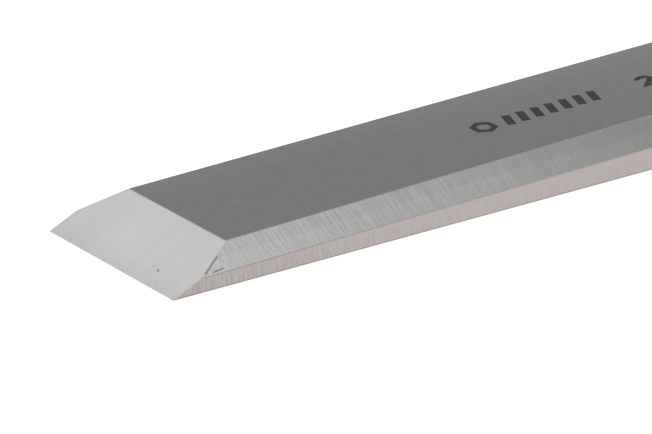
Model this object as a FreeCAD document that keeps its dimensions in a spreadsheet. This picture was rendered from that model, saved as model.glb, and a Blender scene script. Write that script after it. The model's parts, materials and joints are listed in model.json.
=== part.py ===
# Bevel-edge bench chisel, 26 mm: a tanged blade, a leather washer, a ferrule, a turned handle and a hoop.
#
# Every piece is drawn in the tool frame and then laid down by one shared rest placement.
#
# Tool frame, in millimetres: X runs from the cutting edge (x = 0) to the butt of the handle, Y across the
# blade, and Z up from the flat back of the blade (z = 0). The handle's axis is parallel to X, axis_height
# above the back.
#
# Row frame: the chisel lies on a bench, on its cutting edge and on the swell of its handle. Z = 0 is the
# bench, and the origin is under the middle of the chisel's length.
import FreeCAD, Part

import math
import os

import Sketcher
from FreeCAD import Placement, Rotation, Vector

# Every driving dimension: name, value in millimetres (degrees for the angles), and what it measures.
DIMENSIONS = [
    # The ground blade.
    ("blade_width", 26.0, "across the two side lands"),
    ("micro_run", 0.2, "length of the honed micro-bevel along the blade"),
    ("micro_rise", 0.115, "height of the honed micro-bevel"),
    ("bevel_run", 9.22, "length of the cutting bevel along the blade"),
    ("bevel_top", 4.2, "blade thickness where the cutting bevel ends"),
    ("sweep_start", 116.0, "where the top face starts to sweep up to the neck"),
    ("sweep_thickness", 6.45, "blade thickness there"),
    ("land_tip", 1.71, "height of the side lands, extended to the cutting edge"),
    ("land_rise_angle", 0.945, "how steeply the side lands grow towards the handle"),
    ("side_slope", 38.4, "slope of the side bevels"),
    ("side_bevel_end", 104.0, "where the flat part of the side bevels ends"),
    ("wheel_radius", 60.0, "grinding wheel that leaves the side bevels' run-out"),
    ("arris", 0.07, "broken edges of the ground faces"),
    # A shallow grinding dig in one side bevel, just behind the cutting bevel.
    ("dig_end", 8.0, "where the dig's floor runs out, along the blade"),
    ("dig_tilt", 2.1, "angle between the dig's floor and the side bevel"),
    # Shoulders, neck and bolster.
    ("axis_height", 4.8, "handle axis above the flat back"),
    ("shoulder_start", 124.0, "where the shoulders start to curve in"),
    ("shoulder_end", 142.0, "where the forged web is lost in the neck"),
    ("shoulder_share", 0.3, "convex share of the shoulder's S-curve"),
    ("web_half_width", 3.0, "half width of the web where it is lost in the neck"),
    ("web_low", 1.4, "underside of the web where it is lost in the neck"),
    ("web_high", 8.1, "top of the web where it is lost in the neck"),
    ("neck_nose", 119.0, "point of the neck's conical nose, inside the blade"),
    ("neck_start", 138.0, "where the neck reaches its full radius"),
    ("neck_radius", 4.8, "round neck"),
    ("cove_start", 144.5, "where the neck starts to flare to the bolster"),
    ("bolster_front", 151.0, "front of the bolster's rim"),
    ("bolster_back", 156.0, "flat face of the bolster, against the washer"),
    ("bolster_radius", 8.9, "bolster's rim"),
    ("bolster_chamfer", 0.7, "bolster's broken edges"),
    # Tang.
    ("tang_end", 218.0, "tip of the tang"),
    ("tang_root_half", 3.6, "half width of the square tang at the bolster"),
    ("tang_tip_half", 2.0, "half width of the square tang at its tip"),
    ("pilot_end", 223.0, "bottom of the pilot hole that the tang is driven into"),
    ("pilot_radius", 1.9, "pilot hole past the tang's tip"),
    # Leather washer.
    ("washer_back", 158.4, "back of the leather washer"),
    ("washer_radius", 9.7, "outer radius of the leather washer"),
    ("washer_bore", 5.4, "hole in the leather washer"),
    ("washer_round", 0.5, "rounded outer edges of the leather"),
    # Ferrule.
    ("ferrule_lip", 1.2, "thickness of the ferrule's turned-in lip"),
    ("ferrule_lip_bore", 7.2, "radius of the opening in the lip"),
    ("ferrule_bore", 9.7, "inner radius of the ferrule"),
    ("ferrule_radius", 10.9, "outer radius of the ferrule"),
    ("ferrule_end", 180.4, "back edge of the ferrule"),
    ("ferrule_round", 1.1, "rounded front corner of the ferrule"),
    ("ferrule_chamfer", 0.35, "broken back edge of the ferrule"),
    # Handle.
    ("collar_radius", 11.5, "handle just behind the ferrule"),
    ("collar_round", 0.8, "rounded corner of the handle behind the ferrule"),
    ("waist_end", 185.0, "where the handle starts to swell"),
    ("swell_share", 0.36, "hollow share of the swelling S-curve"),
    ("swell_peak", 238.0, "where the handle is thickest"),
    ("swell_radius", 16.4, "handle's largest radius"),
    ("hoop_front", 267.5, "front edge of the hoop"),
    ("hoop_shoulder", 14.3, "handle radius in front of the hoop"),
    ("hoop_bore", 13.0, "inner radius of the hoop"),
    ("hoop_radius", 14.6, "outer radius of the hoop"),
    ("hoop_back", 276.5, "back edge of the hoop"),
    ("hoop_chamfer", 0.5, "broken outer edges of the hoop"),
    ("butt_end", 281.5, "striking face of the handle"),
    ("butt_flat", 6.0, "radius of the flat on the striking face"),
    ("butt_crown", 11.0, "radius of the crown round that flat"),
]
SHEET = "dims"
DIG_CORNERS = [(-3.55, 0.32), (-0.1, 2.28), (0.1, 0.38)]  # along the blade from dig_end, up the side bevel
RIGHT, LEFT = -1, 1  # which way an arc turns, seen along the outline


class Size:
    """A length with both its number and the spreadsheet expression behind it."""

    def __init__(self, number, text=None):
        self.number = float(number)
        self.text = text or repr(self.number)

    def _join(self, other, sign, number):
        other = other if isinstance(other, Size) else Size(other)
        return Size(number(self.number, other.number), f"({self.text} {sign} {other.text})")

    def __add__(self, other):
        return self._join(other, "+", lambda a, b: a + b)

    def __sub__(self, other):
        return self._join(other, "-", lambda a, b: a - b)

    def __mul__(self, other):
        return self._join(other, "*", lambda a, b: a * b)

    def __truediv__(self, other):
        return self._join(other, "/", lambda a, b: a / b)

    def __neg__(self):
        return Size(-self.number, f"(0 - {self.text})")


ZERO = Size(0)


def make_sheet(doc):
    """Writes the driving dimensions to the spreadsheet and returns them by name."""
    sheet = doc.addObject("Spreadsheet::Sheet", SHEET)
    sizes = {}
    for row, (name, value, meaning) in enumerate(DIMENSIONS, start=1):
        sheet.set(f"A{row}", meaning)
        sheet.set(f"B{row}", str(value))
        sheet.setAlias(f"B{row}", name)
        sizes[name] = Size(value, f"{SHEET}.{name}")
    doc.recompute()
    return sizes


def bind(thing, path, size):
    thing.setExpression(path, size.text)


def origin_plane(body, role):
    return next(feature for feature in body.Origin.OriginFeatures if feature.Role == role)


def new_sketch(body, name, role, offset=None):
    """A sketch on one of the body's own origin planes, moved along the plane's normal by offset."""
    sketch = body.newObject("Sketcher::SketchObject", name)
    sketch.AttachmentSupport = [(origin_plane(body, role), "")]
    sketch.MapMode = "FlatFace"
    if offset is not None:
        bind(sketch, "AttachmentOffset.Base.z", offset)
    return sketch


def pin_point(sketch, edge, end, point):
    """Holds one end of an edge at a point whose coordinates are bound to the spreadsheet."""
    for kind, axis, size in (("DistanceX", -2, point[0]), ("DistanceY", -1, point[1])):
        if size is ZERO:
            sketch.addConstraint(Sketcher.Constraint("PointOnObject", edge, end, axis))
            continue
        index = sketch.addConstraint(Sketcher.Constraint(kind, -1, 1, edge, end, size.number))
        bind(sketch, f"Constraints[{index}]", size)


def arc_between(start, end, radius, turn):
    """The circular arc of less than half a turn from start to end. Sketcher arcs always run anticlockwise."""
    a, b = Vector(*start, 0), Vector(*end, 0)
    chord = b - a
    rise = math.sqrt(max(radius**2 - (chord.Length / 2) ** 2, 0.0))
    side = Vector(-chord.y, chord.x, 0).normalize() * turn
    centre = (a + b) * 0.5 + side * rise
    first, last = (a, b) if turn == LEFT else (b, a)
    angles = [math.atan2(p.y - centre.y, p.x - centre.x) for p in (first, last)]
    return Part.ArcOfCircle(Part.Circle(centre, Vector(0, 0, 1), radius), *angles)


def outline(sketch, corners):
    """Draws a closed outline through the corners, each bound to the spreadsheet.

    A corner is (x, y) after a straight edge, or (x, y, radius, turn) after an arc.
    """
    ends = []
    for index, corner in enumerate(corners):
        before = corners[index - 1]
        start = (before[0].number, before[1].number)
        end = (corner[0].number, corner[1].number)
        if len(corner) == 2:
            edge = sketch.addGeometry(Part.LineSegment(Vector(*start, 0), Vector(*end, 0)))
            ends.append((edge, 1, 2))
            continue
        radius, turn = corner[2:]
        edge = sketch.addGeometry(arc_between(start, end, radius.number, turn))
        ends.append((edge, 1, 2) if turn == LEFT else (edge, 2, 1))
        index_radius = sketch.addConstraint(Sketcher.Constraint("Radius", edge, radius.number))
        bind(sketch, f"Constraints[{index_radius}]", radius)
    for index, (edge, _, last) in enumerate(ends):
        following, first, _ = ends[(index + 1) % len(ends)]
        sketch.addConstraint(Sketcher.Constraint("Coincident", edge, last, following, first))
        pin_point(sketch, edge, last, corners[index])


def s_curve(start, end, share, turn):
    """The two arcs of an S-curve that leaves start and reaches end parallel to the sketch's X axis.

    share is the first arc's part of the curve, and turn is the way that arc turns. Returns outline corners.
    """
    run, rise = end[0] - start[0], end[1] - start[1]
    steep = rise if rise.number > 0 else -rise
    both = (run * run + rise * rise) / (steep * 2)
    middle = (start[0] + run * share, start[1] + rise * share)
    return [(*middle, both * share, turn), (*end, both * (Size(1) - share), -turn)]


def tangent_arc_radius(run, rise):
    """Radius of the arc that leaves a point parallel to X and covers this run and rise."""
    return (run * run + rise * rise) / (rise * 2)


def revolve(body, sketch):
    turned = body.newObject("PartDesign::Revolution", f"{sketch.Name}_turned")
    turned.Profile = sketch
    turned.ReferenceAxis = (sketch, ["H_Axis"])
    turned.Angle = 360
    sketch.Visibility = False
    return turned


def square_section(body, name, offset, half_width):
    """A square centred on the tool axis, on a plane across it."""
    sketch = new_sketch(body, name, "YZ_Plane", offset)
    outline(
        sketch,
        [
            (half_width, -half_width),
            (half_width, half_width),
            (-half_width, half_width),
            (-half_width, -half_width),
        ],
    )
    return sketch


def tang_loft(body, kind, d):
    """The tang's square taper, as metal on the blade or as the hole that it is driven into."""
    root = square_section(body, f"{body.Name}_tang_root", d["bolster_back"], d["tang_root_half"])
    tip = square_section(body, f"{body.Name}_tang_tip", d["tang_end"], d["tang_tip_half"])
    loft = body.newObject(kind, f"{body.Name}_tang")
    loft.Profile = root
    loft.Sections = [tip]
    loft.Ruled = True
    return loft


def lift_to_axis(sketch, d):
    """Lifts a sketch that is drawn round the handle's axis to where that axis is in the tool frame."""
    bind(sketch, "AttachmentOffset.Base.y", d["axis_height"])


def make_forging(doc, d):
    """Blade blank, neck, bolster and tang as one forging, with the cutting bevel but no side bevels yet."""
    body = doc.addObject("PartDesign::Body", "forging")
    half = d["blade_width"] / 2

    profile = new_sketch(body, "side_profile", "XZ_Plane")
    sweep_foot = (d["sweep_start"], d["sweep_thickness"])
    outline(
        profile,
        [
            (ZERO, ZERO),
            (d["shoulder_start"], ZERO),
            (d["shoulder_end"], d["web_low"]),
            (d["shoulder_end"], d["web_high"]),
            *s_curve((d["shoulder_end"], d["web_high"]), sweep_foot, Size(0.5), LEFT),
            (d["bevel_run"], d["bevel_top"]),
            (d["micro_run"], d["micro_rise"]),
        ],
    )
    blank = body.newObject("PartDesign::Pad", "blank")
    blank.Profile = profile
    blank.SideType = "Symmetric"
    bind(blank, "Length", d["blade_width"])
    doc.recompute()

    shoulders = new_sketch(body, "shoulder_plan", "XY_Plane")
    clear = half + 2
    beyond = d["shoulder_end"] + 2
    for side in (1, -1):
        mirror = Size(side)
        web = (d["shoulder_end"], d["web_half_width"] * mirror)
        first_turn = RIGHT if side == 1 else LEFT
        outline(
            shoulders,
            [
                (d["shoulder_start"], half * mirror),
                *s_curve((d["shoulder_start"], half * mirror), web, d["shoulder_share"], first_turn),
                (beyond, d["web_half_width"] * mirror),
                (beyond, clear * mirror),
                (d["shoulder_start"], clear * mirror),
            ],
        )
    trimmed = body.newObject("PartDesign::Pocket", "shoulders")
    trimmed.Profile = shoulders
    trimmed.SideType = "Symmetric"
    trimmed.Type = "ThroughAll"
    doc.recompute()
    if not trimmed.Shape.Volume < blank.Shape.Volume:
        raise RuntimeError("the shoulder pocket cut nothing")

    neck = new_sketch(body, "neck_profile", "XZ_Plane")
    lift_to_axis(neck, d)
    rim_foot = d["bolster_radius"] - d["bolster_chamfer"]
    cove_radius = tangent_arc_radius(d["bolster_front"] - d["cove_start"], rim_foot - d["neck_radius"])
    outline(
        neck,
        [
            (d["neck_nose"], ZERO),
            (d["neck_start"], d["neck_radius"]),
            (d["cove_start"], d["neck_radius"]),
            (d["bolster_front"], rim_foot, cove_radius, LEFT),
            (d["bolster_front"] + d["bolster_chamfer"], d["bolster_radius"]),
            (d["bolster_back"] - d["bolster_chamfer"], d["bolster_radius"]),
            (d["bolster_back"], rim_foot),
            (d["bolster_back"], ZERO),
        ],
    )
    revolve(body, neck)
    tang = tang_loft(body, "PartDesign::AdditiveLoft", d)
    for section in (tang.Profile[0], tang.Sections[0][0]):
        lift_to_axis(section, d)
    body.Tip = tang
    doc.recompute()
    return body


def make_side_grind(doc, d, side):
    """The metal that the grinding wheel removes on one side: the side bevel and its curved run-out."""
    body = doc.addObject("PartDesign::Body", "left_grind" if side == 1 else "right_grind")
    sketch = new_sketch(body, f"{body.Name}_profile", "XZ_Plane")
    run_out = d["wheel_radius"] / 2
    lift = d["wheel_radius"] * (1 - math.sqrt(0.75))
    outline(
        sketch,
        [
            (Size(-20), ZERO),
            (d["side_bevel_end"], ZERO),
            (d["side_bevel_end"] + run_out, lift, d["wheel_radius"], LEFT),
            (Size(-20), lift),
        ],
    )
    grind = body.newObject("PartDesign::Pad", f"{body.Name}_sweep")
    grind.Profile = sketch
    grind.SideType = "Symmetric"
    bind(grind, "Length", d["blade_width"])
    bind(body, "Placement.Base.y", d["blade_width"] / 2 * side)
    bind(body, "Placement.Base.z", d["land_tip"])
    bind(body, "Placement.Rotation.Pitch", -d["land_rise_angle"])
    bind(body, "Placement.Rotation.Roll", d["side_slope"] * -side)
    return body


def make_dig(doc, d):
    """The small three-cornered dig in the right side bevel, as the wedge of metal that it takes out."""
    body = doc.addObject("PartDesign::Body", "grinding_dig")
    sketch = new_sketch(body, "dig_outline", "XY_Plane")
    outline(sketch, [(Size(along), Size(up)) for along, up in DIG_CORNERS])
    pad = body.newObject("PartDesign::Pad", "dig")
    pad.Profile = sketch
    pad.Length = 1
    angle = d["land_rise_angle"]
    rise = Size(math.tan(math.radians(angle.number)), f"tan({angle.text} * 1 deg)")
    bind(body, "Placement.Base.x", d["dig_end"])
    bind(body, "Placement.Base.y", d["blade_width"] / -2)
    bind(body, "Placement.Base.z", d["land_tip"] + d["dig_end"] * rise)
    bind(body, "Placement.Rotation.Pitch", -(d["land_rise_angle"] + d["dig_tilt"]))
    bind(body, "Placement.Rotation.Roll", d["side_slope"])
    return body


def ground_edges(shape, d):
    """Numbers of the straight arrises above the lands, which get broken. The back's arrises stay sharp."""
    found = []
    for number, edge in enumerate(shape.Edges, start=1):
        straight = edge.Curve.TypeId == "Part::GeomLine" and edge.Length > d["blade_width"].number / 5
        above_lands = edge.BoundBox.ZMin > d["land_tip"].number
        if straight and above_lands and edge.BoundBox.XMax < d["side_bevel_end"].number + 1:
            found.append(number)
    return found


def make_blade(doc, d):
    """The finished blade: the forging with its side bevels ground, and the arrises broken."""
    forging = make_forging(doc, d)
    grinds = doc.addObject("Part::MultiFuse", "grinds")
    grinds.Shapes = [make_side_grind(doc, d, 1), make_side_grind(doc, d, -1), make_dig(doc, d)]
    ground = doc.addObject("Part::Cut", "ground_blade")
    ground.Base = forging
    ground.Tool = grinds
    doc.recompute()
    broken = doc.addObject("Part::Chamfer", "blade")
    broken.Base = ground
    arris = d["arris"].number
    broken.Edges = [(number, arris, arris) for number in ground_edges(ground.Shape, d)]
    return broken


def make_turned(doc, name, corners):
    """A body turned round the handle's axis from a closed profile of (x, radius) corners."""
    body = doc.addObject("PartDesign::Body", name)
    sketch = new_sketch(body, f"{name}_profile", "XZ_Plane")
    outline(sketch, corners)
    body.Tip = revolve(body, sketch)
    return body


def make_washer(doc, d):
    front, back, rounding = d["bolster_back"], d["washer_back"], d["washer_round"]
    rim = d["washer_radius"]
    return make_turned(
        doc,
        "leather_washer",
        [
            (front, d["washer_bore"]),
            (front, rim - rounding),
            (front + rounding, rim, rounding, RIGHT),
            (back - rounding, rim),
            (back, rim - rounding, rounding, RIGHT),
            (back, d["washer_bore"]),
        ],
    )


def make_ferrule(doc, d):
    front, rounding, chamfer = d["washer_back"], d["ferrule_round"], d["ferrule_chamfer"]
    rim = d["ferrule_radius"]
    return make_turned(
        doc,
        "ferrule",
        [
            (front, d["ferrule_lip_bore"]),
            (front, rim - rounding),
            (front + rounding, rim, rounding, RIGHT),
            (d["ferrule_end"] - chamfer, rim),
            (d["ferrule_end"], rim - chamfer),
            (d["ferrule_end"], d["ferrule_bore"]),
            (front + d["ferrule_lip"], d["ferrule_bore"]),
            (front + d["ferrule_lip"], d["ferrule_lip_bore"]),
        ],
    )


def make_handle(doc, d):
    """The turned handle: a tenon in the ferrule, the swelling grip, the hoop's seat and the crowned butt."""
    tenon_end = d["washer_back"] + d["ferrule_lip"]
    peak = (d["swell_peak"], d["swell_radius"])
    rounding = d["collar_round"]
    tail_radius = tangent_arc_radius(d["hoop_front"] - peak[0], peak[1] - d["hoop_shoulder"])
    body = make_turned(
        doc,
        "handle",
        [
            (tenon_end, ZERO),
            (tenon_end, d["ferrule_bore"]),
            (d["ferrule_end"], d["ferrule_bore"]),
            (d["ferrule_end"], d["collar_radius"] - rounding),
            (d["ferrule_end"] + rounding, d["collar_radius"], rounding, RIGHT),
            (d["waist_end"], d["collar_radius"]),
            *s_curve((d["waist_end"], d["collar_radius"]), peak, d["swell_share"], LEFT),
            (d["hoop_front"], d["hoop_shoulder"], tail_radius, RIGHT),
            (d["hoop_front"], d["hoop_bore"]),
            (d["hoop_back"], d["hoop_bore"]),
            (d["butt_end"], d["butt_flat"], d["butt_crown"], RIGHT),
            (d["butt_end"], ZERO),
        ],
    )
    doc.recompute()
    solid_volume = body.Shape.Volume
    body.Tip = tang_loft(body, "PartDesign::SubtractiveLoft", d)
    pilot = new_sketch(body, "pilot_circle", "YZ_Plane", d["pilot_end"])
    circle = pilot.addGeometry(Part.Circle(Vector(0, 0, 0), Vector(0, 0, 1), d["pilot_radius"].number))
    pilot.addConstraint(Sketcher.Constraint("Coincident", circle, 3, -1, 1))
    index = pilot.addConstraint(Sketcher.Constraint("Radius", circle, d["pilot_radius"].number))
    bind(pilot, f"Constraints[{index}]", d["pilot_radius"])
    hole = body.newObject("PartDesign::Pocket", "pilot_hole")
    hole.Profile = pilot
    bind(hole, "Length", d["pilot_end"] - d["tang_end"])
    body.Tip = hole
    doc.recompute()
    if not hole.Shape.Volume < hole.BaseFeature.Shape.Volume < solid_volume:
        raise RuntimeError("the tang's hole cut nothing")
    return body


def make_hoop(doc, d):
    front, back, chamfer = d["hoop_front"], d["hoop_back"], d["hoop_chamfer"]
    rim = d["hoop_radius"]
    return make_turned(
        doc,
        "striking_hoop",
        [
            (front, d["hoop_bore"]),
            (front, rim - chamfer),
            (front + chamfer, rim),
            (back - chamfer, rim),
            (back, rim - chamfer),
            (back, d["hoop_bore"]),
        ],
    )


def rest_placement(d):
    """Tips the tool about its cutting edge until the underside of the swell touches the bench."""
    peak, radius = d["swell_peak"].number, d["swell_radius"].number
    run = peak - d["waist_end"].number
    rise = radius - d["collar_radius"].number
    swell_arc = (run**2 + rise**2) / (2 * rise) * (1 - d["swell_share"].number)
    centre_height = d["axis_height"].number - radius + swell_arc
    reach = math.hypot(peak, centre_height)
    tilt = math.asin(swell_arc / reach) - math.atan2(centre_height, peak)
    turn = Rotation(Vector(0, 1, 0), -math.degrees(tilt))
    lowest_of_flat = d["axis_height"].number - d["butt_flat"].number
    furthest = turn.multVec(Vector(d["butt_end"].number, 0, lowest_of_flat))
    return Placement(Vector(-furthest.x / 2, 0, 0), turn)


def check(doc, pieces):
    """Stops the script if any object failed to compute or any piece isn't a sound solid."""
    for thing in doc.Objects:
        if {"Invalid", "Error"} & set(thing.State):
            raise RuntimeError(f"{thing.Name} is {thing.State}")
    for piece in pieces:
        shape = piece.Shape
        if shape.isNull() or not shape.isValid() or not shape.Solids or shape.Volume <= 0:
            raise RuntimeError(f"{piece.Label} is not a sound solid")


def main():
    doc = FreeCAD.newDocument("bench_chisel")
    d = make_sheet(doc)
    laid_down = rest_placement(d)
    on_axis = laid_down.multiply(Placement(Vector(0, 0, d["axis_height"].number), Rotation()))
    blade = make_blade(doc, d)
    turned = [make_washer(doc, d), make_ferrule(doc, d), make_handle(doc, d), make_hoop(doc, d)]
    doc.recompute()
    blade.Placement = laid_down
    for piece in turned:
        piece.Placement = on_axis
    doc.recompute()
    pieces = [blade, *turned]
    check(doc, pieces)
    os.makedirs("parts", exist_ok=True)
    for piece in pieces:
        piece.Shape.exportStep(os.path.join("parts", f"{piece.Label}.step"))
        print(f"{piece.Label}: {piece.Shape.Volume:.1f} mm3")


main()
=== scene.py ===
"""Looks of the bevel-edge bench chisel: finishes of the CAD pieces, etched marks, studio and camera.

Sizes in materials and marks are in millimetres of the tool frame: X runs from the cutting edge to the
butt, Y across the blade and Z up from the flat back. tool_matrix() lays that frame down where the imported
part rests.
"""

import json
import math

import bmesh
import bpy
from mathutils import Matrix, Vector
from mathutils.bvhtree import BVHTree
from mathutils.geometry import tessellate_polygon


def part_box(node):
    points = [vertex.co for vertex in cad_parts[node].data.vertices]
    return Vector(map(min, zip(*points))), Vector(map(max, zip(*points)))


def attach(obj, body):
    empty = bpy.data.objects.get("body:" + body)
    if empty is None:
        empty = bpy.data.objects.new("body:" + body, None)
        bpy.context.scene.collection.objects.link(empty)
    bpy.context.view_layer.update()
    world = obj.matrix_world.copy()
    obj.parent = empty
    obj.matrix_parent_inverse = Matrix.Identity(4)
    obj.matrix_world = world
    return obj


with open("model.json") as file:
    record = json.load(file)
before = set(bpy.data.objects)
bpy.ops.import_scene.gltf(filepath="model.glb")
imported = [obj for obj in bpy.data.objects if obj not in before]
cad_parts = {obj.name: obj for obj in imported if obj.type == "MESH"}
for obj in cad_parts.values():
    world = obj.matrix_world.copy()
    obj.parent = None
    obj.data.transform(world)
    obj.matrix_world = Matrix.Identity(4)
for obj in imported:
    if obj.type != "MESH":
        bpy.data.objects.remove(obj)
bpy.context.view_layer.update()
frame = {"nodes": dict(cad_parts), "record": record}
MM = 0.001

# The blade's width, and where parts of the tool begin and end along X.
BLADE_WIDTH = (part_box("blade")[1].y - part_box("blade")[0].y) / MM
CUTTING_BEVEL_END = 9.42
SHOULDERS = 125.0
MARK_START = 51.7
NUMERAL_START = 77.1
# The grinding dig in the right side bevel: its pitted floor, painted shade along two creases at its walls,
# and a painted highlight along its lip.
DIG_FLOOR = [(4.3, -12.85), (7.65, -12.68), (8.0, -11.1)]
DIG_CREASES = [((4.75, -12.62), (7.2, -11.36)), ((5.75, -12.72), (7.15, -12.62))]
DIG_LIP = ((4.6, -12.95), (8.3, -12.9))
CREASE_WIDTH, LIP_WIDTH = 0.36, 0.3
# A dark speck on the cutting bevel.
SPECK = ((2.17, -6.74), (2.33, -6.46))
SPECK_WIDTH = 0.42
# How far from the blade's middle the painted shade on each side bevel reaches, at the tip and behind.
SHADE_REACH_TIP, SHADE_REACH_BACK = 11.5, 11.27
# The growth rings of the handle's wood: their width, and the tree's heart beside the handle's axis.
RING_WIDTH = 2.7
RING_HEART = (38.0, -27.0)


def mount(name):
    return next(m for m in frame["record"]["mounts"] if m["name"] == name)


def tool_matrix():
    """Tool frame to row frame, in metres: the butt's face looks along tool X, the flat back along -Z."""
    along = Vector(mount("striking_face")["axis"])
    up = -Vector(mount("flat_back")["axis"])
    cutting_edge = Vector((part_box("blade")[0].x, 0, 0))
    turn = Matrix((along, up.cross(along), up)).transposed().to_4x4()
    return Matrix.Translation(cutting_edge) @ turn


TOOL = tool_matrix()


# ---------------------------------------------------------------------------------------------------------
# A short way to write node trees. Any input can be a number, a colour, a vector or another node's output.


class Tree:
    def __init__(self, tree):
        self.tree = tree
        self.tree.nodes.clear()

    def put(self, socket, value):
        if isinstance(value, bpy.types.NodeSocket):
            self.tree.links.new(value, socket)
        elif socket.type == "RGBA" and len(value) == 3:
            socket.default_value = (*value, 1)
        else:
            socket.default_value = value

    def node(self, kind, inputs=(), **settings):
        made = self.tree.nodes.new(kind)
        for name, value in settings.items():
            setattr(made, name, value)
        for key, value in dict(inputs).items():
            self.put(made.inputs[key], value)
        return made

    def math(self, operation, *values, clamp=False):
        made = self.node("ShaderNodeMath", enumerate(values), operation=operation, use_clamp=clamp)
        return made.outputs[0]

    def vector(self, operation, *values, output=0):
        made = self.node("ShaderNodeVectorMath", operation=operation)
        for index, value in enumerate(values):
            is_scale = operation == "SCALE" and index == 1
            self.put(made.inputs["Scale" if is_scale else index], value)
        return made.outputs[output]

    def ramp(self, value, low, high, start=0.0, end=1.0):
        """Smoothly from start to end as value goes from low to high."""
        inputs = {"Value": value, "From Min": low, "From Max": high, "To Min": start, "To Max": end}
        return self.node("ShaderNodeMapRange", inputs, interpolation_type="SMOOTHSTEP").outputs[0]

    def band(self, value, low, high, soft):
        """1 where value lies between low and high, with soft edges."""
        return self.math("MULTIPLY", self.ramp(value, low - soft, low + soft),
                         self.ramp(value, high - soft, high + soft, 1, 0))

    def mix(self, factor, a, b):
        made = self.node("ShaderNodeMix", {0: factor, 6: a, 7: b}, data_type="RGBA")
        return made.outputs[2]

    def blend(self, factor, a, b):
        return self.node("ShaderNodeMix", {0: factor, 2: a, 3: b}, data_type="FLOAT").outputs[0]

    def tint(self, colour, value):
        """Colour times a number."""
        return self.vector("SCALE", colour, value)

    def stretched(self, vector, scale):
        return self.vector("MULTIPLY", vector, scale)

    def leaning(self, place, lean):
        """The place moved along X by its height times lean, so that marks across X lean over."""
        shift = self.math("MULTIPLY", self.split(place)[2], lean)
        return self.vector("ADD", place, self.node("ShaderNodeCombineXYZ", {0: shift}).outputs[0])

    def noise(self, vector, scale=(1, 1, 1), detail=2.0, roughness=0.5, offset=0.0):
        """Fractal noise from 0 to 1, with its own number of cells per millimetre along each axis."""
        moved = self.vector("ADD", self.stretched(vector, scale), (offset, offset * 1.7, offset * 0.6))
        inputs = {"Vector": moved, "Scale": 1.0, "Detail": detail, "Roughness": roughness}
        return self.node("ShaderNodeTexNoise", inputs).outputs[0]

    def bump(self, height, strength, distance):
        inputs = {"Height": height, "Strength": strength, "Distance": distance}
        return self.node("ShaderNodeBump", inputs).outputs[0]

    def split(self, vector):
        return self.node("ShaderNodeSeparateXYZ", {0: vector}).outputs

    def near_line(self, flat, start, end, width):
        """1 on the straight line between two (x, y) points, fading to 0 at half its width away."""
        a = Vector((*start, 0))
        run = Vector((*end, 0)) - a
        from_start = self.vector("SUBTRACT", flat, tuple(a))
        share = self.math("DIVIDE", self.vector("DOT_PRODUCT", from_start, tuple(run), output=1),
                          run.length_squared, clamp=True)
        nearest = self.vector("SCALE", tuple(run), share)
        away = self.vector("LENGTH", self.vector("SUBTRACT", from_start, nearest), output=1)
        return self.ramp(away, 0, width / 2, 1, 0)

    def inside(self, flat, corners, soft):
        """1 within a convex outline of (x, y) corners listed anticlockwise, with soft edges."""
        covered = 1.0
        for a, b in zip(corners, corners[1:] + corners[:1]):
            run = Vector((b[0] - a[0], b[1] - a[1], 0)).normalized()
            inward = Vector((-run.y, run.x, 0))
            from_corner = self.vector("SUBTRACT", flat, (*a, 0))
            depth = self.vector("DOT_PRODUCT", from_corner, tuple(inward), output=1)
            covered = self.math("MULTIPLY", covered, self.ramp(depth, -soft, soft))
        return covered

    def tool_position(self):
        """The surface point in millimetres of the tool frame."""
        place = self.node("ShaderNodeTexCoord").outputs["Object"]
        back = TOOL.inverted()
        inputs = {
            "Vector": place,
            "Location": tuple(back.translation / MM),
            "Rotation": tuple(back.to_euler()),
            "Scale": (1 / MM,) * 3,
        }
        return self.node("ShaderNodeMapping", inputs, vector_type="POINT").outputs[0]

    def tool_normal(self):
        """The face's normal, turned into the tool frame."""
        normal = self.node("ShaderNodeNewGeometry").outputs["True Normal"]
        inputs = {"Vector": normal, "Rotation": tuple(TOOL.inverted().to_euler())}
        return self.node("ShaderNodeMapping", inputs, vector_type="NORMAL").outputs[0]

    def surface(self, inputs):
        shader = self.node("ShaderNodeBsdfPrincipled", inputs)
        self.node("ShaderNodeOutputMaterial", {"Surface": shader.outputs[0]})


def new_material(name):
    material = bpy.data.materials.new(name)
    material.use_nodes = True
    return material, Tree(material.node_tree)


def dress(node, material):
    """Gives a CAD node its finish."""
    for slot in frame["nodes"][node].material_slots:
        slot.material = material


# ---------------------------------------------------------------------------------------------------------
# The blade. One material, because it is one forging. Each ground face is found by its place and normal.


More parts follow.
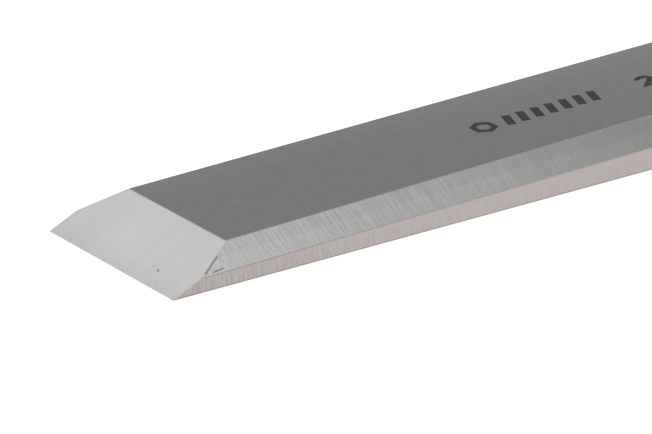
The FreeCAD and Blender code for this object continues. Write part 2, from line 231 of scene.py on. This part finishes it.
def blade_steel():
    material, t = new_material("ground_blade_steel")
    place = t.tool_position()
    flat = t.stretched(place, (1, 1, 0))
    x, y, z = t.split(place)
    facing_x, facing_y, facing_z = t.split(t.tool_normal())
    sideways = t.math("ABSOLUTE", facing_y)
    on_blade = t.ramp(x, SHOULDERS - 1, SHOULDERS + 6, 1, 0)

    # Which face is this?
    top = t.math("MULTIPLY", t.ramp(facing_z, 0.9, 0.97), on_blade)
    cutting_bevel = t.math("MULTIPLY", t.ramp(facing_x, -0.18, -0.1, 1, 0),
                           t.ramp(x, CUTTING_BEVEL_END, CUTTING_BEVEL_END + 0.1, 1, 0))
    side_bevel = t.math("MULTIPLY", t.band(sideways, 0.4, 0.85, 0.05), on_blade)
    side_land = t.math("MULTIPLY", t.ramp(sideways, 0.85, 0.95), on_blade)
    back = t.math("MULTIPLY", t.ramp(facing_z, -0.95, -0.9, 1, 0), on_blade)

    # Wheel marks run up the side bevels and across the lands, leaning a little.
    slope = t.leaning(place, 0.2)
    broad = t.noise(slope, (1.5, 0.06, 0.06), detail=2)
    fine = t.noise(slope, (5.0, 0.22, 0.22), detail=3, roughness=0.7, offset=31)
    deep = t.ramp(t.noise(slope, (6.0, 0.45, 0.45), detail=1, offset=63), 0.6, 0.72)
    wheel = t.math("MULTIPLY_ADD", broad, 0.12, t.math("MULTIPLY", fine, 0.88))
    wheel = t.math("MULTIPLY_ADD", deep, -0.12, wheel)
    land_lines = t.noise(t.leaning(place, 0.1), (5.0, 0.3, 0.45), detail=1.5, roughness=0.6, offset=57)
    # On the cutting bevel they run from the edge to the top, thin along Y.
    streaks = t.noise(place, (0.06, 1.5, 0.06), detail=4, roughness=0.65, offset=12)
    # The top and the back are satin. The shoulders, neck and bolster keep a forged, blasted skin.
    satin = t.noise(place, (0.5, 6.0, 6.0), detail=3, roughness=0.6, offset=77)
    forged = t.noise(place, (0.6, 0.6, 0.6), detail=4, roughness=0.55, offset=5)
    blasted = t.noise(place, (5, 5, 5), detail=3, roughness=0.6, offset=15)

    colour = t.tint((0.36, 0.357, 0.352), t.ramp(forged, 0.3, 0.7, 0.93, 1.05))
    colour = t.tint(colour, t.ramp(blasted, 0.3, 0.7, 0.88, 1.1))
    colour = t.mix(back, colour, t.tint((0.5, 0.5, 0.5), t.ramp(satin, 0.3, 0.7, 0.95, 1.05)))
    # The top face gets a little lighter towards the handle and towards +Y. This is a painted sheen,
    # mottled by the satin and forged textures.
    top_sheen_and_grain = t.ramp(t.math("MULTIPLY_ADD", y, 2.5, x), 40, 110, 1.0, 1.1)
    top_sheen_and_grain = t.math("MULTIPLY", top_sheen_and_grain, t.ramp(y, 3.5, 10.2, 1.0, 1.1))
    top_sheen_and_grain = t.math("MULTIPLY", top_sheen_and_grain, t.ramp(satin, 0.3, 0.7, 0.97, 1.03))
    top_sheen_and_grain = t.math("MULTIPLY", top_sheen_and_grain, t.ramp(forged, 0.3, 0.7, 0.98, 1.02))
    # The top face's darker grey is partly its own tone and partly painted shade for the dim room it
    # mirrors.
    colour = t.mix(top, colour, t.tint((0.37, 0.37, 0.37), top_sheen_and_grain))
    # The wheel marks are strongest near the cutting edge.
    depth = t.ramp(x, 12, 60, 1.0, 0.35)
    land_marks_and_shade = t.blend(depth, 1.0, t.ramp(land_lines, 0.3, 0.7, 0.9, 1.1))
    # Painted shade: the side lands are a little darker near the cutting edge, up to 14 mm, fading out by
    # 25 mm.
    land_marks_and_shade = t.math("MULTIPLY", land_marks_and_shade, t.ramp(x, 14, 25, 0.96, 1.0))
    bevel_marks_and_shade = t.blend(depth, 1.0, t.ramp(wheel, 0.34, 0.66, 0.87, 1.11))
    colour = t.mix(side_land, colour, t.tint((0.66, 0.606, 0.583), land_marks_and_shade))
    # Painted shade: the upper part of each side bevel is a little darker, and so is all of it towards the
    # handle (45 to 85 mm), with a little painted light between 26 and 42 mm.
    reach = t.ramp(x, -10, 70, SHADE_REACH_TIP, SHADE_REACH_BACK)
    outwards = t.math("SUBTRACT", t.math("ABSOLUTE", y), reach)
    shade = t.ramp(outwards, -0.2, 0.2, 0.937, 1.0)
    shade = t.math("MULTIPLY", shade, t.ramp(x, 26, 42, 1.0, 1.06))
    shade = t.math("MULTIPLY", shade, t.ramp(x, 45, 85, 1.0, 0.855))
    bevel_marks_and_shade = t.math("MULTIPLY", bevel_marks_and_shade, shade)
    colour = t.mix(side_bevel, colour, t.tint((0.566, 0.566, 0.566), bevel_marks_and_shade))
    # The cutting bevel is a little darker at its edge and towards both sides, which is painted shade, and
    # worn in places.
    cut_bevel_shade_and_wear = t.math("MULTIPLY", t.ramp(x, 0.3, 3.5, 0.95, 1.0), t.ramp(y, -4, 13, 1.0, 0.95))
    cut_bevel_shade_and_wear = t.math("MULTIPLY", cut_bevel_shade_and_wear, t.ramp(y, -5, 1, 0.96, 1.0))
    worn = t.ramp(t.noise(place, (0.6, 0.35, 0.6), detail=3, roughness=0.6, offset=39), 0.4, 0.65)
    cut_bevel_shade_and_wear = t.math("MULTIPLY_ADD", t.math("MULTIPLY", worn, t.ramp(x, 0.2, 1.3, 1, 0)), -0.07, cut_bevel_shade_and_wear)
    cut = t.math("MULTIPLY", cut_bevel_shade_and_wear, t.ramp(streaks, 0.3, 0.7, 0.97, 1.03))
    colour = t.mix(cutting_bevel, colour, t.tint((0.595, 0.59, 0.58), cut))

    # Painted highlights lighten the edges between the faces, as if they caught the light. Painted shade
    # darkens the bottom edge and the dig's creases. The speck is dark.
    rise = t.ramp(x, CUTTING_BEVEL_END - 0.35, CUTTING_BEVEL_END - 0.15)
    crest = t.math("MULTIPLY", cutting_bevel, rise)
    # Painted shade along the bottom edge of each side land.
    sole = t.math("MULTIPLY", side_land, t.ramp(z, 0.03, 0.22, 1, 0))
    top_arris = t.blend(cutting_bevel, t.band(sideways, 0.15, 0.5, 0.05), 0.0)
    arris = t.math("MULTIPLY", t.math("ADD", t.band(sideways, 0.8, 0.95, 0.03), top_arris), on_blade)
    dig = t.math("MULTIPLY", t.inside(flat, DIG_FLOOR, 0.25), side_bevel)
    pits = t.noise(place, (3.5, 3.5, 3.5), detail=2, offset=90)
    # Painted shade along the dig's two wall creases. The bump grooves them too.
    crease_line = t.math("MAXIMUM", *(t.near_line(flat, start, end, CREASE_WIDTH) for start, end in DIG_CREASES))
    speck = t.near_line(flat, *SPECK, SPECK_WIDTH)
    # A painted highlight along the dig's lip.
    lip = t.math("MULTIPLY", t.near_line(flat, *DIG_LIP, LIP_WIDTH), side_bevel)
    light = t.math("MULTIPLY_ADD", arris, 0.5, t.math("MULTIPLY", crest, 0.08))
    light = t.math("MULTIPLY_ADD", lip, 0.2, light)
    dark = t.math("ADD", t.math("MULTIPLY", sole, 0.35), t.math("MULTIPLY", crease_line, 0.5))
    dark = t.math("MULTIPLY_ADD", dig, t.ramp(pits, 0.35, 0.65, -0.04, 0.14), dark)
    dark = t.math("MULTIPLY_ADD", speck, 0.6, dark)
    colour = t.tint(colour, t.math("SUBTRACT", t.math("ADD", 1.0, light), dark))

    roughness = t.blend(top, t.blend(on_blade, 0.42, 0.34), 0.27)
    wheel_roughness = t.blend(depth, 0.28, t.ramp(wheel, 0.3, 0.7, 0.25, 0.31))
    roughness = t.blend(side_bevel, roughness, wheel_roughness)
    relief = t.math("MULTIPLY_ADD", wheel, side_bevel, t.math("MULTIPLY", land_lines, side_land))
    relief = t.math("MULTIPLY", relief, depth)
    relief = t.math("ADD", relief, t.math("MULTIPLY", streaks, cutting_bevel))
    relief = t.math("SUBTRACT", relief, crease_line)

    t.surface({
        "Base Color": colour,
        "Metallic": 1.0,
        "Roughness": roughness,
        "Normal": t.bump(relief, 0.25, 0.00003),
    })
    return material


def turned_steel(name, colour):
    """Steel turned on a lathe: fine grooves round the axis, so thin along X."""
    material, t = new_material(name)
    place = t.tool_position()
    grooves = t.noise(place, (7.0, 0.02, 0.02), detail=3, roughness=0.7)
    patches = t.noise(place, (0.25, 0.25, 0.25), detail=4, offset=9)
    t.surface({
        "Base Color": t.tint(colour, t.ramp(patches, 0.3, 0.7, 0.95, 1.03)),
        "Metallic": 1.0,
        "Roughness": t.ramp(grooves, 0.3, 0.7, 0.26, 0.42),
        "Normal": t.bump(grooves, 0.3, 0.00004),
    })
    return material


def waxed_wood():
    """Beech: growth rings off the handle's axis, fine fibres along it and short dark ray flecks."""
    material, t = new_material("waxed_beech")
    place = t.tool_position()
    x = t.split(place)[0]
    wander = t.noise(place, (0.012, 0.05, 0.05), detail=2, offset=3)
    waves = t.noise(place, (0.03, 0.35, 0.35), detail=2, offset=17)
    from_heart = t.vector("SUBTRACT", t.stretched(place, (0, 1, 1)), (0, *RING_HEART))
    radius = t.math("MULTIPLY_ADD", wander, 9.0, t.vector("LENGTH", from_heart, output=1))
    radius = t.math("MULTIPLY_ADD", waves, 0.8, radius)
    ring = t.math("FRACT", t.math("DIVIDE", radius, RING_WIDTH))
    latewood = t.math("MULTIPLY", t.math("POWER", ring, 2.4), t.ramp(ring, 0.93, 1.0, 1, 0))
    fibres = t.noise(place, (0.06, 4.5, 4.5), detail=4, roughness=0.7, offset=21)
    patches = t.noise(place, (0.03, 0.09, 0.09), detail=2, offset=51)
    pores = t.ramp(t.noise(place, (0.3, 7.0, 7.0), detail=2, roughness=0.6, offset=44), 0.57, 0.68)
    flecks = t.ramp(t.noise(place, (0.55, 3.2, 3.2), detail=1, offset=66), 0.66, 0.72)
    handled = t.ramp(x, 205, 250, 1.0, 0.93)

    colour = t.mix(latewood, (0.52, 0.285, 0.115), (0.33, 0.148, 0.05))
    colour = t.tint(colour, t.ramp(fibres, 0.28, 0.72, 0.8, 1.16))
    colour = t.tint(colour, t.math("MULTIPLY", handled, t.ramp(patches, 0.3, 0.7, 0.9, 1.08)))
    colour = t.mix(t.math("MULTIPLY", pores, 0.38), colour, (0.17, 0.075, 0.027))
    colour = t.mix(t.math("MULTIPLY", flecks, 0.45), colour, (0.22, 0.095, 0.035))
    relief = t.math("SUBTRACT", t.math("MULTIPLY", fibres, 0.5), pores)
    relief = t.math("MULTIPLY_ADD", latewood, 0.3, relief)
    t.surface({
        "Base Color": colour,
        "Roughness": t.ramp(fibres, 0.2, 0.8, 0.42, 0.6),
        "Normal": t.bump(relief, 0.3, 0.00006),
        "Coat Weight": 0.22,
        "Coat Roughness": 0.25,
    })
    return material


def washer_leather():
    """Vegetable-tanned leather, cut across: thin layers of fibres show on the rim."""
    material, t = new_material("washer_leather")
    place = t.tool_position()
    layers = t.noise(place, (4.0, 0.5, 0.5), detail=4, roughness=0.6)
    grain = t.noise(place, (2.5, 2.5, 2.5), detail=5, roughness=0.6, offset=8)
    colour = t.mix(t.ramp(layers, 0.3, 0.7), (0.13, 0.06, 0.028), (0.3, 0.165, 0.08))
    colour = t.tint(colour, t.ramp(grain, 0.3, 0.7, 0.8, 1.15))
    t.surface({
        "Base Color": colour,
        "Roughness": t.ramp(grain, 0.3, 0.7, 0.55, 0.8),
        "Normal": t.bump(t.math("ADD", layers, grain), 0.5, 0.00012),
    })
    return material


def etching():
    """Electro-etched marks: oxide-black, matt and slightly grainy."""
    material, t = new_material("etched_black")
    place = t.tool_position()
    grain = t.noise(place, (8, 8, 8), detail=3)
    t.surface({
        "Base Color": t.mix(t.ramp(grain, 0.3, 0.7), (0.035, 0.035, 0.035), (0.06, 0.06, 0.06)),
        "Metallic": 0.6,
        "Roughness": t.ramp(grain, 0.3, 0.7, 0.5, 0.62),
    })
    return material


# ---------------------------------------------------------------------------------------------------------
# Etched marks: thin plates on the top face of the blade, drawn as ribbons and outlines.

# How far the plates stand above the top face and reach below it.
ETCH_RAISE, ETCH_DEPTH = 0.012, 0.03


def top_height(surface, x, y):
    """Height of the blade's top face over a point of the tool frame, in millimetres."""
    start = TOOL @ Vector((x * MM, y * MM, 0.05))
    down = TOOL.to_3x3() @ Vector((0, 0, -1))
    hit = surface.ray_cast(start, down)[0]
    return (TOOL.inverted() @ hit).z / MM


def arc(centre, radius, start, end, steps=14):
    """Points along an arc, angles in degrees, radius one number or (x, y)."""
    rx, ry = radius if isinstance(radius, tuple) else (radius, radius)
    angles = [math.radians(start + (end - start) * i / steps) for i in range(steps + 1)]
    return [(centre[0] + rx * math.cos(a), centre[1] + ry * math.sin(a)) for a in angles]


def ribbon(points, width, closed=False):
    """Cells (four-cornered) of a ribbon of even width along a line."""
    count = len(points)
    sides = []
    for i, p in enumerate(points):
        before = points[i - 1] if closed or i else p
        after = points[(i + 1) % count] if closed or i < count - 1 else p
        here = Vector(p)
        inward = (here - Vector(before)).normalized() if before != p else None
        outward = (Vector(after) - here).normalized() if after != p else None
        inward, outward = inward or outward, outward or inward
        across = (inward + outward).normalized()
        across = Vector((-across.y, across.x))
        half = width / 2 / max(across.dot(Vector((-inward.y, inward.x))), 0.4)
        sides.append((here + across * half, here - across * half))
    pairs = zip(sides, sides[1:] + sides[:1]) if closed else zip(sides, sides[1:])
    return [(a[0], b[0], b[1], a[1]) for a, b in pairs]


def filled(outline, hole):
    """Triangles, all wound the same way, that fill an outline round a hole."""
    points = [Vector(point) for point in outline + hole]
    triangles = []
    loops = [[Vector((*point, 0)) for point in loop] for loop in (outline, hole)]
    for corners in tessellate_polygon(loops):
        a, b, c = (points[i] for i in corners)
        triangles.append((a, b, c) if (b - a).cross(c - a) > 0 else (a, c, b))
    return triangles


def edges_of(cell):
    """The cell's edges in order, each as its two ends."""
    return list(zip(cell, cell[1:] + cell[:1]))


def etched_plate(name, cells, surface, material):
    """A closed shell that follows the blade's top face. Cells that share an edge have no wall there."""
    mesh = bmesh.new()
    made = {}

    def vertex(point, lift):
        if (point, lift) not in made:
            height = top_height(surface, *point) + lift
            made[point, lift] = mesh.verts.new(TOOL @ (Vector((*point, height)) * MM))
        return made[point, lift]

    cells = [tuple((round(corner.x, 4), round(corner.y, 4)) for corner in cell) for cell in cells]
    edges = {edge for cell in cells for edge in edges_of(cell)}
    for cell in cells:
        mesh.faces.new([vertex(point, ETCH_RAISE) for point in cell])
        mesh.faces.new([vertex(point, -ETCH_DEPTH) for point in reversed(cell)])
        for start, end in edges_of(cell):
            if (end, start) not in edges:
                wall = [(start, -ETCH_DEPTH), (end, -ETCH_DEPTH), (end, ETCH_RAISE), (start, ETCH_RAISE)]
                mesh.faces.new([vertex(point, lift) for point, lift in wall])
    bmesh.ops.recalc_face_normals(mesh, faces=mesh.faces)
    data = bpy.data.meshes.new(name)
    mesh.to_mesh(data)
    mesh.free()
    data.materials.append(material)
    plate = bpy.data.objects.new(name, data)
    bpy.context.scene.collection.objects.link(plate)
    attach(plate, "root")
    return plate


def maker_mark_cells():
    """A plain hexagon ring and a row of slanted bars."""
    middle = -0.35
    radius, stroke = 1.75, 0.75
    ring = arc((MARK_START + radius, middle), radius - stroke / 2, 30, 330, steps=5)
    cells = ribbon(ring, stroke, closed=True)
    first, pitch, bars, height, lean, wide = MARK_START + 5.0, 2.15, 7, 2.9, 1.0, 1.1
    for i in range(bars):
        foot = (first + i * pitch, middle - height / 2)
        head = (foot[0] + lean, middle + height / 2)
        cells += ribbon([foot, head], wide)
    return cells


def numeral_cells():
    """The blade's width in millimetres, 26, as two plain bold numerals."""
    stroke, wide = 0.75, 1.75
    low, high = -1.6, 0.9
    half, rx = stroke / 2, wide / 2
    left = NUMERAL_START + half

    top_ry = 0.68
    top = arc((left + rx, high - top_ry), (rx, top_ry), 170, -35, steps=16)
    two = ribbon(top + [(left, low), (left + wide, low)], stroke)

    # The 6 is outlined: round its bowl to the stem, up inside the stem and back down outside it.
    left += wide + 1.3
    bowl, bowl_ry = (left + rx, low + 0.72), 0.72
    stem, stem_rx, stem_ry = (bowl[0] + 0.15, bowl[1] + 0.1), rx + 0.15, 1.68
    outline = arc(bowl, (rx + half, bowl_ry + half), -180, 103, steps=26)
    outline += arc(stem, (stem_rx - half, stem_ry - half), 132, 75, steps=8)
    outline += arc(stem, (stem_rx + half, stem_ry + half), 75, 180, steps=12)
    hole = arc(bowl, (rx - half, bowl_ry - half), 0, 360, steps=20)[:-1]
    return two + filled(outline, hole)


def etch_marks():
    surface = BVHTree.FromObject(frame["nodes"]["blade"], bpy.context.evaluated_depsgraph_get())
    material = etching()
    etched_plate("etched_mark", maker_mark_cells(), surface, material)
    etched_plate("etched_width", numeral_cells(), surface, material)


# ---------------------------------------------------------------------------------------------------------
# Studio and camera.

FLOOR_SIZE = 30.0
FLOOR_GREY, FLOOR_GLOW = 0.35, 0.45
# How bright the world and the floor's glow look to the camera itself.
SKY_SEEN, FLOOR_SEEN = 1.05, 0.95
# The world's light levels, and the directions (azimuth, elevation in degrees) they are measured from.
ROOM_SIDE = (-9.2, -34.1)
ROOM_LEVEL, SHEET_LEVEL = 0.42, 1.03
SHEET_FULL, SHEET_EDGE = -0.38, -0.12
PANEL_SIDE = (-28, 68.5)
PANEL_AWAY, PANEL_SIZE, PANEL_WATTS = 0.3, 0.14, 0.034
LENS_MM = 298.16
CAMERA_PLACE = Vector((-311.33, -484.27, 236.65))  # millimetres, tool frame
CAMERA_AZIMUTH, CAMERA_ELEVATION, CAMERA_ROLL = -35.213, 21.862, -0.33


def towards(azimuth, elevation):
    """Unit vector of the row frame: azimuth 0 is +X, 90 is +Y."""
    a, e = math.radians(azimuth), math.radians(elevation)
    return Vector((math.cos(a) * math.cos(e), math.sin(a) * math.cos(e), math.sin(e)))


def studio_world():
    """A broad soft sheet of light overhead and at the cutting end, and a dimmer room at the handle's end.

    The camera sees plain white past the floor's edge, as it does over it.
    """
    world = bpy.data.worlds.new("studio")
    world.use_nodes = True
    bpy.context.scene.world = world
    t = Tree(world.node_tree)
    direction = t.node("ShaderNodeTexCoord").outputs["Generated"]
    away = t.vector("DOT_PRODUCT", direction, tuple(towards(*ROOM_SIDE)), output=1)
    level = t.ramp(away, SHEET_FULL, SHEET_EDGE, SHEET_LEVEL, ROOM_LEVEL)
    sees = t.node("ShaderNodeLightPath").outputs["Is Camera Ray"]
    strength = t.blend(sees, level, SKY_SEEN)
    shader = t.node("ShaderNodeBackground", {"Color": (1, 1, 1), "Strength": strength})
    t.node("ShaderNodeOutputWorld", {"Surface": shader.outputs[0]})


def tip_panel():
    """A small faint panel over the cutting end, where the near side bevel mirrors it."""
    data = bpy.data.lights.new("tip_panel", "AREA")
    data.shape = "SQUARE"
    data.size = PANEL_SIZE
    data.energy = PANEL_WATTS
    panel = bpy.data.objects.new("tip_panel", data)
    way = towards(*PANEL_SIDE)
    panel.location = TOOL @ Vector((0, -BLADE_WIDTH / 2 * MM, 0)) + way * PANEL_AWAY
    panel.rotation_euler = way.to_track_quat("Z", "Y").to_euler()
    panel.visible_camera = False
    bpy.context.scene.collection.objects.link(panel)


def studio_floor():
    """A pale floor that glows a little, like a light table, so that nothing throws a hard shadow."""
    material, t = new_material("pale_floor")
    diffuse = t.node("ShaderNodeBsdfDiffuse", {"Color": (FLOOR_GREY,) * 3})
    sees = t.node("ShaderNodeLightPath").outputs["Is Camera Ray"]
    strength = t.blend(sees, FLOOR_GLOW, FLOOR_SEEN)
    glow = t.node("ShaderNodeEmission", {"Color": (1, 1, 1), "Strength": strength})
    both = t.node("ShaderNodeAddShader", {0: diffuse.outputs[0], 1: glow.outputs[0]})
    t.node("ShaderNodeOutputMaterial", {"Surface": both.outputs[0]})
    bpy.ops.mesh.primitive_plane_add(size=FLOOR_SIZE)
    floor = bpy.context.object
    floor.name = "floor"
    floor.data.materials.append(material)


def add_camera():
    """The camera's place and direction are held in the tool frame, since it looks at the blade."""
    a, e = math.radians(CAMERA_AZIMUTH), math.radians(CAMERA_ELEVATION)
    back = Vector((math.sin(a) * math.cos(e), -math.cos(a) * math.cos(e), math.sin(e)))
    right = Vector((math.cos(a), math.sin(a), 0))
    axes = Matrix((right, back.cross(right), back)).transposed().to_4x4()
    roll = Matrix.Rotation(math.radians(CAMERA_ROLL), 4, "Z")
    data = bpy.data.cameras.new("camera")
    data.sensor_width = 36.0
    data.lens = LENS_MM
    camera = bpy.data.objects.new("camera", data)
    camera.matrix_world = TOOL @ Matrix.Translation(CAMERA_PLACE * MM) @ axes @ roll
    bpy.context.scene.collection.objects.link(camera)
    bpy.context.scene.camera = camera


add_camera()
studio_world()
tip_panel()
studio_floor()
bpy.context.scene.view_settings.view_transform = "Standard"

dress("blade", blade_steel())
dress("leather_washer", washer_leather())
dress("ferrule", turned_steel("turned_ferrule_steel", (0.55, 0.55, 0.545)))
dress("handle", waxed_wood())
dress("striking_hoop", turned_steel("turned_hoop_steel", (0.5, 0.5, 0.5)))
etch_marks()
